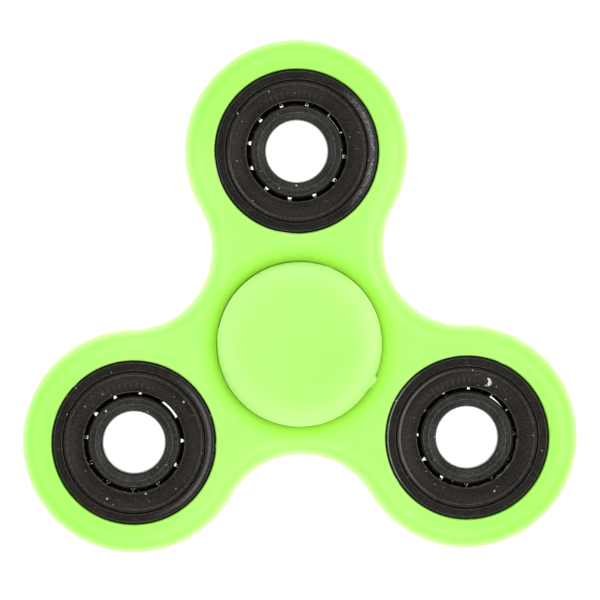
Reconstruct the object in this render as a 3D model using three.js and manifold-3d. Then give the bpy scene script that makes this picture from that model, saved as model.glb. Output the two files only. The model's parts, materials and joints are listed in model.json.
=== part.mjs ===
// Three-lobed finger spinner, in millimetres. +Z is the spin axis, and the origin is the centre of the
// centre bearing. A moulded body holds four 608-size ball bearings. The centre one carries the body on two
// finger caps that plug into its bore. The three in the lobes are weights: each is a full ring of balls with
// no cage, behind two steel shields.

import * as THREE from 'three';
import { mergeVertices } from 'three/addons/utils/BufferGeometryUtils.js';
import Module from 'manifold-3d';

const wasm = await Module();
wasm.setup();

// ---------------------------------------------------------------- driving dimensions

// 608 bearing: 8 mm bore, 22 mm outside, 7 mm wide, 5/32 inch balls
const BORE_RADIUS = 4;
const BEARING_RADIUS = 11;
const BEARING_WIDTH = 7;
const BALL_RADIUS = 3.969 / 2;
const INNER_LAND_RADIUS = 6.2;
const OUTER_LAND_RADIUS = 8.9;
const SHIELD_SEAT_RADIUS = 9.6;
const SHIELD_SEAT_DEPTH = 0.8;
const SHIELD_BORE_RADIUS = 6.75;
const SHIELD_THICKNESS = 0.3;
const SHIELD_RECESS = 0.2; // how far the shield's flat lies below the bearing's face
const SHIELD_RIM_DEPTH = 0.25; // how thick the rim is that lies in the outer ring's seat
const RACEWAY_RADIUS = 2.08; // the groove's cross-section, a little more open than the ball
const RACEWAY_REACH = 48; // degrees that each groove reaches round the ball, either side of its middle
const OUTER_CORNER = 0.3; // chamfer on the outer ring's outside corners
const LAND_CORNER = 0.25; // chamfer on the inner ring's land
const BORE_CORNER_WIDTH = 1.15; // the soft edge of the bore, cut in two slopes
const BORE_CORNER_DEPTH = 1;

// Crown cage of the centre bearing
const CAGE_CLEARANCE = 0.45; // to each ring's land
const CAGE_FOOT = 0.75; // thickness of the cage's base below the balls
const HORN_HEIGHT = 0.95; // how far its horns reach above the balls' centres

// Moulded body: lobes and waists are arcs that meet on the sides of a regular hexagon
const ARM_LENGTH = 25.8; // spin axis to each weight's axis
const LOBE_RADIUS = 15.1;
const BODY_THICKNESS = 7.6;
const EDGE_ROUND = 3;
const SEAT_CHAMFER = 0.2;

// Finger caps
const CAP_RADIUS = 11;
const CAP_TOP = 6.3; // height of the flat ring round the dish above the middle of the spinner
const CAP_UNDERSIDE = 4.35;
const CAP_DISH_RADIUS = 7;
const CAP_DISH_DEPTH = 0.5;
const CAP_RIM_FALL = { width: 3.2, height: 1.3 }; // the quarter ellipse from the flat ring to the rim
const CAP_LOWER_CHAMFER = 0.35;
const COLLAR_RADIUS = 5.75;
const STEM_TIP = 0.35;
const STEM_WALL = 1.5;
const STEM_LEAD = { width: 0.4, depth: 0.6 }; // taper at the stem's tip
const STEM_HOLLOW_TOP = 4.55;
const SLOT_WIDTH = 1.2;
const SLOT_TOP = 3;
const GATE_ANGLE = -28; // degrees from +X, where the moulding gate left a nib on the rim
const GATE = { proud: 0.45, width: 1.9, height: 0.8, root: 0.95 };

// Balls
const WEIGHT_BALLS = 11;
const CENTRE_BALLS = 7;
const WEIGHTS = [
  { name: 'weight_1', angle: 90, gapAngle: 35 },
  { name: 'weight_2', angle: 210, gapAngle: 41 },
  { name: 'weight_3', angle: 330, gapAngle: 44 },
];

// Clearances between pieces
const PRESS_CLEARANCE = 0.05; // a press fit, drawn just clear
const SEAT_CLEARANCE = 0.02; // two faces that rest on each other
const BALL_CLEARANCE = 0.005;
const POCKET_CLEARANCE = 0.22;

// How finely round shapes are cut
const ROUND_SEGMENTS = 24;
const LOBE_SEGMENTS = 16;
const WAIST_SEGMENTS = 7;
const EDGE_SEGMENTS = 4;
const RACEWAY_SEGMENTS = 4;
const RIM_SEGMENTS = 5;
const DISH_SEGMENTS = 3;
const BALL_DETAIL = 1;

const OVERCUT = 0.5; // how far a cutter runs past the face that it cuts

// ---------------------------------------------------------------- sizes that follow from them

const HALF_WIDTH = BEARING_WIDTH / 2;
const PITCH_RADIUS = (BORE_RADIUS + BEARING_RADIUS) / 2;
const WAIST_RADIUS = ARM_LENGTH - LOBE_RADIUS;
const SEAT_RADIUS = BEARING_RADIUS + PRESS_CLEARANCE;
const STEM_RADIUS = BORE_RADIUS - 2 * PRESS_CLEARANCE;
const BALL_SPACING = 2 * Math.asin((BALL_RADIUS + BALL_CLEARANCE) / PITCH_RADIUS);

// ---------------------------------------------------------------- finishes

const finishes = {
  greenPlastic: new THREE.MeshStandardMaterial({ color: 0xb4fa70, roughness: 0.42, metalness: 0 }),
  blackSteel: new THREE.MeshStandardMaterial({ color: 0x3a3734, roughness: 0.38, metalness: 0.85 }),
  shieldSteel: new THREE.MeshStandardMaterial({ color: 0x3b3733, roughness: 0.55, metalness: 0.8 }),
  ballSteel: new THREE.MeshStandardMaterial({ color: 0xb9bcc0, roughness: 0.12, metalness: 1 }),
  nylon: new THREE.MeshStandardMaterial({ color: 0xd8d2c0, roughness: 0.6, metalness: 0 }),
};

// ---------------------------------------------------------------- helpers

// A point at radius r and height z of a turned profile.
const at = (r, z) => new THREE.Vector2(r, z);

// Points of an arc in a flat drawing, from one angle to another, both ends included.
function arc(centreX, centreY, radius, fromDegrees, toDegrees, steps) {
  return Array.from({ length: steps + 1 }, (_, i) => {
    const angle = THREE.MathUtils.degToRad(THREE.MathUtils.lerp(fromDegrees, toDegrees, i / steps));
    return new THREE.Vector2(centreX + radius * Math.cos(angle), centreY + radius * Math.sin(angle));
  });
}

// A solid turned about Z. The profile runs counter-clockwise in the half-plane of radius and height.
function turned(profile) {
  return new THREE.LatheGeometry(profile, ROUND_SEGMENTS).rotateX(Math.PI / 2);
}

// A ring: a profile that closes on itself.
const turnedRing = (profile) => turned([...profile, profile[0]]);

function toSolid(geometry) {
  const bare = geometry.index ? geometry.toNonIndexed() : geometry.clone();
  bare.deleteAttribute('normal');
  bare.deleteAttribute('uv');
  const merged = mergeVertices(bare, 1e-4);
  return new wasm.Manifold(new wasm.Mesh({
    numProp: 3,
    vertProperties: new Float32Array(merged.attributes.position.array),
    triVerts: new Uint32Array(merged.index.array),
  }));
}

function toGeometry(solid) {
  const { vertProperties, triVerts } = solid.getMesh();
  const geometry = new THREE.BufferGeometry();
  geometry.setAttribute('position', new THREE.BufferAttribute(vertProperties, 3));
  geometry.setIndex(new THREE.BufferAttribute(triVerts, 1));
  return geometry;
}

const cut = (geometry, tools) =>
  toGeometry(tools.reduce((solid, tool) => solid.subtract(toSolid(tool)), toSolid(geometry)));

const join = (geometry, added) => toGeometry(toSolid(geometry).add(toSolid(added)));

function piece(name, geometry, finish) {
  const mesh = new THREE.Mesh(geometry, finish);
  mesh.name = name;
  return mesh;
}

// The same piece turned over, to sit on the lower side.
function turnedOver(mesh) {
  mesh.rotation.x = Math.PI;
  return mesh;
}

function polar(radius, degrees) {
  const angle = THREE.MathUtils.degToRad(degrees);
  return new THREE.Vector3(radius * Math.cos(angle), radius * Math.sin(angle), 0);
}

// ---------------------------------------------------------------- body

// Three lobe arcs of 240 degrees joined by three waist arcs of 120. All six arcs' centres are ARM_LENGTH
// from the spin axis.
function bodyOutline() {
  const points = WEIGHTS.flatMap(({ angle }) => {
    const lobe = polar(ARM_LENGTH, angle);
    const waist = polar(ARM_LENGTH, angle + 60);
    return [
      ...arc(lobe.x, lobe.y, LOBE_RADIUS, angle - 120, angle + 120, LOBE_SEGMENTS),
      ...arc(waist.x, waist.y, WAIST_RADIUS, angle - 60, angle - 180, WAIST_SEGMENTS).slice(1, -1),
    ];
  });
  return new THREE.Shape(points);
}

// Cutter for a bearing's seat, with a small chamfer at each mouth.
function seatCutter(x, y) {
  const half = BODY_THICKNESS / 2;
  const past = half + OVERCUT;
  const mouth = SEAT_RADIUS + SEAT_CHAMFER + OVERCUT;
  return turned([
    at(0, -past),
    at(mouth, -past),
    at(SEAT_RADIUS, -half + SEAT_CHAMFER),
    at(SEAT_RADIUS, half - SEAT_CHAMFER),
    at(mouth, past),
    at(0, past),
  ]).translate(x, y, 0);
}

function bodyGeometry() {
  const straight = BODY_THICKNESS - 2 * EDGE_ROUND;
  const slab = new THREE.ExtrudeGeometry(bodyOutline(), {
    depth: straight,
    bevelThickness: EDGE_ROUND,
    bevelSize: EDGE_ROUND,
    bevelOffset: -EDGE_ROUND,
    bevelSegments: EDGE_SEGMENTS,
  }).translate(0, 0, -straight / 2);
  const seats = [new THREE.Vector3(), ...WEIGHTS.map(({ angle }) => polar(ARM_LENGTH, angle))];
  return cut(slab, seats.map(({ x, y }) => seatCutter(x, y)));
}

// ---------------------------------------------------------------- bearing pieces

// The balls' track in one ring. middle is the direction from a ball's centre to that ring, in degrees.
const raceway = (middle, from, to) =>
  arc(PITCH_RADIUS, 0, RACEWAY_RADIUS, middle + from, middle + to, RACEWAY_SEGMENTS);

function outerRing() {
  const shoulder = HALF_WIDTH - SHIELD_SEAT_DEPTH;
  return turnedRing([
    at(BEARING_RADIUS - OUTER_CORNER, -HALF_WIDTH),
    at(BEARING_RADIUS, -HALF_WIDTH + OUTER_CORNER),
    at(BEARING_RADIUS, HALF_WIDTH - OUTER_CORNER),
    at(BEARING_RADIUS - OUTER_CORNER, HALF_WIDTH),
    at(SHIELD_SEAT_RADIUS, HALF_WIDTH),
    at(SHIELD_SEAT_RADIUS, shoulder),
    at(OUTER_LAND_RADIUS, shoulder),
    ...raceway(0, RACEWAY_REACH, -RACEWAY_REACH),
    at(OUTER_LAND_RADIUS, -shoulder),
    at(SHIELD_SEAT_RADIUS, -shoulder),
    at(SHIELD_SEAT_RADIUS, -HALF_WIDTH),
  ]);
}

function innerRing() {
  const boreEdge = [
    at(BORE_RADIUS + BORE_CORNER_WIDTH, HALF_WIDTH),
    at(BORE_RADIUS + BORE_CORNER_WIDTH / 4, HALF_WIDTH - BORE_CORNER_DEPTH / 3),
    at(BORE_RADIUS, HALF_WIDTH - BORE_CORNER_DEPTH),
  ];
  const lowerBoreEdge = boreEdge.map(({ x, y }) => at(x, -y)).reverse();
  return turnedRing([
    ...lowerBoreEdge,
    at(INNER_LAND_RADIUS - LAND_CORNER, -HALF_WIDTH),
    at(INNER_LAND_RADIUS, -HALF_WIDTH + LAND_CORNER),
    ...raceway(180, RACEWAY_REACH, -RACEWAY_REACH),
    at(INNER_LAND_RADIUS, HALF_WIDTH - LAND_CORNER),
    at(INNER_LAND_RADIUS - LAND_CORNER, HALF_WIDTH),
    ...boreEdge,
  ]);
}

// A pressed washer whose rim steps down into the outer ring's seat.
function shield() {
  const flat = HALF_WIDTH - SHIELD_RECESS;
  const floor = HALF_WIDTH - SHIELD_SEAT_DEPTH + SEAT_CLEARANCE;
  const rim = SHIELD_SEAT_RADIUS - 3 * PRESS_CLEARANCE;
  return turnedRing([
    at(SHIELD_BORE_RADIUS, flat - SHIELD_THICKNESS),
    at(OUTER_LAND_RADIUS - SHIELD_RIM_DEPTH, flat - SHIELD_THICKNESS),
    at(OUTER_LAND_RADIUS, floor),
    at(rim, floor),
    at(rim, floor + SHIELD_RIM_DEPTH),
    at(OUTER_LAND_RADIUS, flat),
    at(SHIELD_BORE_RADIUS, flat),
  ]);
}

const ball = () => new THREE.IcosahedronGeometry(BALL_RADIUS, BALL_DETAIL);

// A crown cage: a ring below the balls, with horns that reach up between them and a pocket for each ball.
function cage() {
  const innerRadius = INNER_LAND_RADIUS + CAGE_CLEARANCE;
  const outerRadius = OUTER_LAND_RADIUS - CAGE_CLEARANCE;
  const foot = -BALL_RADIUS - CAGE_FOOT;
  const blank = turnedRing([
    at(innerRadius, foot),
    at(outerRadius, foot),
    at(outerRadius, HORN_HEIGHT),
    at(innerRadius, HORN_HEIGHT),
  ]);
  const pockets = ballAngles(CENTRE_BALLS, 0).map((degrees) => {
    const { x, y } = polar(PITCH_RADIUS, degrees);
    return new THREE.IcosahedronGeometry(BALL_RADIUS + POCKET_CLEARANCE, BALL_DETAIL).translate(x, y, 0);
  });
  return cut(blank, pockets);
}

// Where the balls stand, in degrees. Caged balls share the circle evenly. Loose ones touch in a row, and
// leave what room is left over as one gap at gapAngle.
function ballAngles(count, gapAngle, loose = false) {
  const spacing = loose ? THREE.MathUtils.radToDeg(BALL_SPACING) : 360 / count;
  const slack = 360 - count * spacing;
  return Array.from({ length: count }, (_, i) => gapAngle + slack / 2 + spacing * (i + 0.5));
}

// One bearing of named pieces, about its own axis.
function bearing(name, angles) {
  const group = new THREE.Group();
  group.add(
    piece(`${name}_outer_ring`, outerRing(), finishes.blackSteel),
    piece(`${name}_inner_ring`, innerRing(), finishes.blackSteel),
    piece(`${name}_upper_shield`, shield(), finishes.shieldSteel),
    turnedOver(piece(`${name}_lower_shield`, shield(), finishes.shieldSteel)),
  );
  angles.forEach((degrees, i) => {
    const number = String(i + 1).padStart(2, '0');
    const rollingBall = piece(`${name}_ball_${number}`, ball(), finishes.ballSteel);
    rollingBall.position.copy(polar(PITCH_RADIUS, degrees));
    group.add(rollingBall);
  });
  return group;
}

// ---------------------------------------------------------------- finger caps

// A dished disc on a collar that rests on the inner ring, with a hollow stem for the bore.
function capProfile() {
  const dish = Array.from({ length: DISH_SEGMENTS + 1 }, (_, i) => {
    const share = 1 - i / DISH_SEGMENTS;
    return at(CAP_DISH_RADIUS * share, CAP_TOP - CAP_DISH_DEPTH * (1 - share ** 2));
  });
  const rim = Array.from({ length: RIM_SEGMENTS + 1 }, (_, i) => {
    const turn = (Math.PI / 2) * (i / RIM_SEGMENTS);
    const { width, height } = CAP_RIM_FALL;
    return at(CAP_RADIUS - width * (1 - Math.cos(turn)), CAP_TOP - height * (1 - Math.sin(turn)));
  });
  const stemBore = STEM_RADIUS - STEM_WALL;
  const collarFoot = HALF_WIDTH + SEAT_CLEARANCE;
  return [
    at(0, STEM_HOLLOW_TOP),
    at(stemBore, STEM_HOLLOW_TOP),
    at(stemBore, STEM_TIP),
    at(STEM_RADIUS - STEM_LEAD.width, STEM_TIP),
    at(STEM_RADIUS, STEM_TIP + STEM_LEAD.depth),
    at(STEM_RADIUS, collarFoot),
    at(COLLAR_RADIUS, collarFoot),
    at(COLLAR_RADIUS, CAP_UNDERSIDE),
    at(CAP_RADIUS - CAP_LOWER_CHAMFER, CAP_UNDERSIDE),
    at(CAP_RADIUS, CAP_UNDERSIDE + CAP_LOWER_CHAMFER),
    ...rim,
    ...dish,
  ];
}

// Two crossed slots split the stem into four springy legs. The trimmed gate stands a little proud of the
// rim.
function fingerCap() {
  const slotHeight = SLOT_TOP - STEM_TIP + OVERCUT;
  const slots = [0, Math.PI / 2].map((angle) =>
    new THREE.BoxGeometry(2 * (STEM_RADIUS + OVERCUT), SLOT_WIDTH, slotHeight)
      .translate(0, 0, SLOT_TOP - slotHeight / 2)
      .rotateZ(angle));
  const gateMiddle = CAP_RADIUS + (GATE.proud - GATE.root) / 2;
  const gateHeight = CAP_UNDERSIDE + CAP_LOWER_CHAMFER + GATE.height / 2;
  const gate = new THREE.BoxGeometry(GATE.root + GATE.proud, GATE.width, GATE.height)
    .translate(gateMiddle, 0, gateHeight)
    .rotateZ(THREE.MathUtils.degToRad(GATE_ANGLE));
  return join(cut(turned(capProfile()), slots), gate);
}

// ---------------------------------------------------------------- assembly

const spinner = new THREE.Group();

spinner.add(
  piece('tri_lobe_body', bodyGeometry(), finishes.greenPlastic),
  piece('upper_finger_cap', fingerCap(), finishes.greenPlastic),
  turnedOver(piece('lower_finger_cap', fingerCap(), finishes.greenPlastic)),
);

const centre = bearing('centre', ballAngles(CENTRE_BALLS, 0));
centre.add(piece('centre_cage', cage(), finishes.nylon));
spinner.add(centre);

for (const { name, angle, gapAngle } of WEIGHTS) {
  const weight = bearing(name, ballAngles(WEIGHT_BALLS, gapAngle, true));
  weight.position.copy(polar(ARM_LENGTH, angle));
  spinner.add(weight);
}

export default spinner;
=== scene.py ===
"""Looks of a three-lobed finger spinner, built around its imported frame.

Every frame node is replaced by a fine piece of the same place and size: the moulded body, two finger caps,
and four ball bearings of rings, shields and balls. All sizes below are in millimetres, and a mesh is scaled
to metres when it is sewn.
"""

from __future__ import annotations

import json
import logging
import math
from collections.abc import Mapping, Sequence
from dataclasses import dataclass, field
from enum import Enum
from typing import Any, NamedTuple

import bmesh
import bpy
import numpy as np
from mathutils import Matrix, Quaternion, Vector

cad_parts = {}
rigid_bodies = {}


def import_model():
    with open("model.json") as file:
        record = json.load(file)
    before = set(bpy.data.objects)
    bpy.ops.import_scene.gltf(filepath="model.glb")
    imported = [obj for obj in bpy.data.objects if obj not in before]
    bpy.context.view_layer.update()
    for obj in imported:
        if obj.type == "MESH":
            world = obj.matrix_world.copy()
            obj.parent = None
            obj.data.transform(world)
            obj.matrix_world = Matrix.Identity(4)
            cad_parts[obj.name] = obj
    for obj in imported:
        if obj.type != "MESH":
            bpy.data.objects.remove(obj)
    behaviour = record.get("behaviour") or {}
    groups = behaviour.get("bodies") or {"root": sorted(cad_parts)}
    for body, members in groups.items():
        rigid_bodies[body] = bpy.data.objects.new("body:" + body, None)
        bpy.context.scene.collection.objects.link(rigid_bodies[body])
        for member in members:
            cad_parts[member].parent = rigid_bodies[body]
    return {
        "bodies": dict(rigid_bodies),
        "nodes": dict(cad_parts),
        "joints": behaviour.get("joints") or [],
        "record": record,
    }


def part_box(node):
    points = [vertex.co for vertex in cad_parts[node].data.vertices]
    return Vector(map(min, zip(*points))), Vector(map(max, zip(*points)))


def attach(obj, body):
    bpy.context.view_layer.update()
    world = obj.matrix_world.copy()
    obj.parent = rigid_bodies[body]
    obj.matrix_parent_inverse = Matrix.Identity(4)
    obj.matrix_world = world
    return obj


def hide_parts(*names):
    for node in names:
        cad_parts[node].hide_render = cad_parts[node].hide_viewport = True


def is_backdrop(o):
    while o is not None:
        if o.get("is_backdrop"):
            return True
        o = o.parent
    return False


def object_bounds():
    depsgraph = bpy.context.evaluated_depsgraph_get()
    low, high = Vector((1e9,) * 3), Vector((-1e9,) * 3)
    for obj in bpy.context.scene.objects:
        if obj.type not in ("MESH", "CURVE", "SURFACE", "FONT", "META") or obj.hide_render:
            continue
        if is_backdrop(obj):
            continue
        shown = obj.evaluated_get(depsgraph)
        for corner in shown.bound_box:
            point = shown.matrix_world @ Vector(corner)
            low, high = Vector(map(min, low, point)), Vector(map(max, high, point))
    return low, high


Array = np.ndarray
Colour = tuple[float, float, float]

LOG = logging.getLogger("spinner")
MM = 0.001


# ---------------------------------------------------------------- surfaces


class Corner(NamedTuple):
    """A corner of a drawn section: its place across and up, and the radius it is rounded to."""

    across: float
    up: float
    radius: float = 0.0


class Section(NamedTuple):
    """A drawn section: points of shape (n, 2), how worn each point is from 0 to 1, and whether it closes."""

    points: Array
    wear: Array
    closed: bool


class Patch(NamedTuple):
    """A grid of points of shape (rows, columns, 3), with wear of shape (rows, columns)."""

    points: Array
    wear: Array
    wrap_rows: bool = False
    wrap_columns: bool = False


def unit(vector: Array) -> Array:
    """Returns the vector at length 1."""
    return vector / np.linalg.norm(vector)


def polar(radius: float | Array, angle: float | Array) -> Array:
    """Returns the flat points at a radius and an angle in radians, in the last axis."""
    return np.stack(np.broadcast_arrays(radius * np.cos(angle), radius * np.sin(angle)), axis=-1)


def arc(centre: tuple[float, float], radius: float, start: float, end: float, steps: int) -> list[Corner]:
    """Draws an arc as sharp corners.

    Args:
        centre: The arc's centre, across and up.
        radius: The arc's radius.
        start: The angle it starts from, in degrees.
        end: The angle it ends at, in degrees.
        steps: How many chords it is cut into.

    Returns:
        The corners, both ends included.
    """
    spots = np.array(centre) + polar(radius, np.radians(np.linspace(start, end, steps + 1)))
    return [Corner(across, up) for across, up in spots]


def draw(corners: Sequence[Corner], closed: bool, steps: int = 6, support: float = 0.025) -> Section:
    """Draws a section with rounded corners.

    A corner of radius R and inner angle A becomes the arc whose centre lies R / sin(A / 2) from it on the
    bisector of its sides, and which touches each side R / tan(A / 2) from it. One more point stands a little
    past each end of the arc, so that smooth shading stays flat along the sides.

    Args:
        corners: The corners in order.
        closed: Whether the last corner joins the first.
        steps: How many chords each rounded corner is cut into.
        support: How far past an arc its extra points stand.

    Returns:
        The section, worn most at the middle of each rounded corner.
    """
    spots = np.array([(corner.across, corner.up) for corner in corners])
    points, wear = [], []
    for i, corner in enumerate(corners):
        here = spots[i]
        if corner.radius == 0:
            points.append(here[None])
            wear.append(np.zeros(1))
            continue
        before = unit(spots[i - 1] - here)
        after = unit(spots[(i + 1) % len(spots)] - here)
        half = 0.5 * math.acos(float(before @ after))
        touch = corner.radius / math.tan(half)
        centre = here + unit(before + after) * corner.radius / math.sin(half)
        turn = math.pi - 2 * half
        share = np.linspace(0, 1, steps + 1)[:, None]
        start = here + before * touch - centre
        end = here + after * touch - centre
        bend = centre + (np.sin((1 - share) * turn) * start + np.sin(share * turn) * end) / math.sin(turn)
        ends = here + np.outer([touch + support] * 2, (1, 1)) * np.array([before, after])
        points.append(np.vstack([ends[:1], bend, ends[1:]]))
        wear.append(np.concatenate([[0], np.sin(math.pi * share[:, 0]) ** 0.5, [0]]))
    return Section(np.vstack(points), np.concatenate(wear), closed)


def turned(section: Section, centre: Array, segments: int = 144) -> Patch:
    """Turns a section about an upright axis.

    The point at angle a of section point (r, z) is centre + (r cos a, r sin a, z).

    Args:
        section: The section, with across as the distance from the axis.
        centre: A point of the axis.
        segments: How many steps the turn is cut into.

    Returns:
        The grid, one row for each angle.
    """
    angles = np.arange(segments)[:, None] * (2 * math.pi / segments)
    flat = polar(section.points[None, :, 0], angles)
    height = np.broadcast_to(section.points[None, :, 1:], (*flat.shape[:2], 1))
    points = np.concatenate([flat, height], axis=-1) + centre
    return Patch(points, np.broadcast_to(section.wear, points.shape[:2]), True, section.closed)


class Skin:
    """Grids of points that are sewn into one closed mesh where they meet."""

    SEAM = 0.0005

    def __init__(self, *patches: Patch) -> None:
        """Starts from the given grids."""
        self.patches = list(patches)

    def add(self, patch: Patch) -> None:
        """Adds a grid."""
        self.patches.append(patch)

    @staticmethod
    def quads(patch: Patch, start: int) -> Array:
        """Returns the grid's faces as vertex numbers, counted from start."""
        rows, columns = patch.points.shape[:2]
        index = start + np.arange(rows * columns).reshape(rows, columns)
        if patch.wrap_rows:
            index = np.vstack([index, index[:1]])
        if patch.wrap_columns:
            index = np.hstack([index, index[:, :1]])
        corners = (index[:-1, :-1], index[1:, :-1], index[1:, 1:], index[:-1, 1:])
        return np.stack(corners, axis=-1).reshape(-1, 4)

    def sew(self, name: str) -> bpy.types.Object:
        """Makes the mesh object.

        Points closer than SEAM become one, which closes seams and poles. The faces are then turned outwards.

        Args:
            name: The object's name.

        Returns:
            The object, at the origin, in metres.
        """
        counts = [patch.points.shape[0] * patch.points.shape[1] for patch in self.patches]
        starts = np.cumsum([0, *counts[:-1]])
        points = np.vstack([patch.points.reshape(-1, 3) for patch in self.patches]) * MM
        faces = np.vstack([self.quads(patch, start) for patch, start in zip(self.patches, starts)])
        mesh = bpy.data.meshes.new(name)
        mesh.from_pydata(points.tolist(), [], faces.tolist())
        wear = mesh.attributes.new("wear", "FLOAT", "POINT")
        wear.data.foreach_set("value", np.concatenate([patch.wear.ravel() for patch in self.patches]))
        sewn = bmesh.new()
        sewn.from_mesh(mesh)
        bmesh.ops.remove_doubles(sewn, verts=sewn.verts, dist=self.SEAM * MM)
        bmesh.ops.recalc_face_normals(sewn, faces=sewn.faces)
        sewn.to_mesh(mesh)
        sewn.free()
        mesh.shade_smooth()
        piece = bpy.data.objects.new(name, mesh)
        bpy.context.scene.collection.objects.link(piece)
        return piece


# ---------------------------------------------------------------- shader formulas


class Signal:
    """A shader socket that can be written into formulas."""

    def __init__(self, graph: Graph, socket: bpy.types.NodeSocket) -> None:
        """Wraps a socket of the graph's node tree."""
        self.graph = graph
        self.socket = socket

    def _math(self, operation: str, *values: Signal | float) -> Signal:
        """Returns the result of one Math node."""
        return self.graph.out("ShaderNodeMath", {"operation": operation}, dict(enumerate(values)))

    def __add__(self, other: Signal | float) -> Signal:
        """Returns self + other."""
        return self._math("ADD", self, other)

    __radd__ = __add__

    def __sub__(self, other: Signal | float) -> Signal:
        """Returns self - other."""
        return self._math("SUBTRACT", self, other)

    def __rsub__(self, other: Signal | float) -> Signal:
        """Returns other - self."""
        return self._math("SUBTRACT", other, self)

    def __mul__(self, other: Signal | float) -> Signal:
        """Returns self * other."""
        return self._math("MULTIPLY", self, other)

    __rmul__ = __mul__

    def __truediv__(self, other: Signal | float) -> Signal:
        """Returns self / other."""
        return self._math("DIVIDE", self, other)

    def __lt__(self, other: Signal | float) -> Signal:
        """Returns 1 where self is less, and 0 elsewhere."""
        return self._math("LESS_THAN", self, other)

    def __abs__(self) -> Signal:
        """Returns the value without its sign."""
        return self._math("ABSOLUTE", self)

    def most(self, other: Signal | float) -> Signal:
        """Returns the greater of the two."""
        return self._math("MAXIMUM", self, other)

    def turn_from(self, other: Signal) -> Signal:
        """Returns the angle whose tangent is self over other, in radians, right in every quarter."""
        return self._math("ARCTAN2", self, other)

    def fraction(self) -> Signal:
        """Returns what is left above the whole number below."""
        return self._math("FRACT", self)

    def root(self) -> Signal:
        """Returns the square root."""
        return self._math("SQRT", self)

    def step(self, low: float, high: float) -> Signal:
        """Returns a smooth step, from 0 at low to 1 at high."""
        feeds = {"Value": self, "From Min": low, "From Max": high}
        return self.graph.out("ShaderNodeMapRange", {"interpolation_type": "SMOOTHSTEP"}, feeds)


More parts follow.
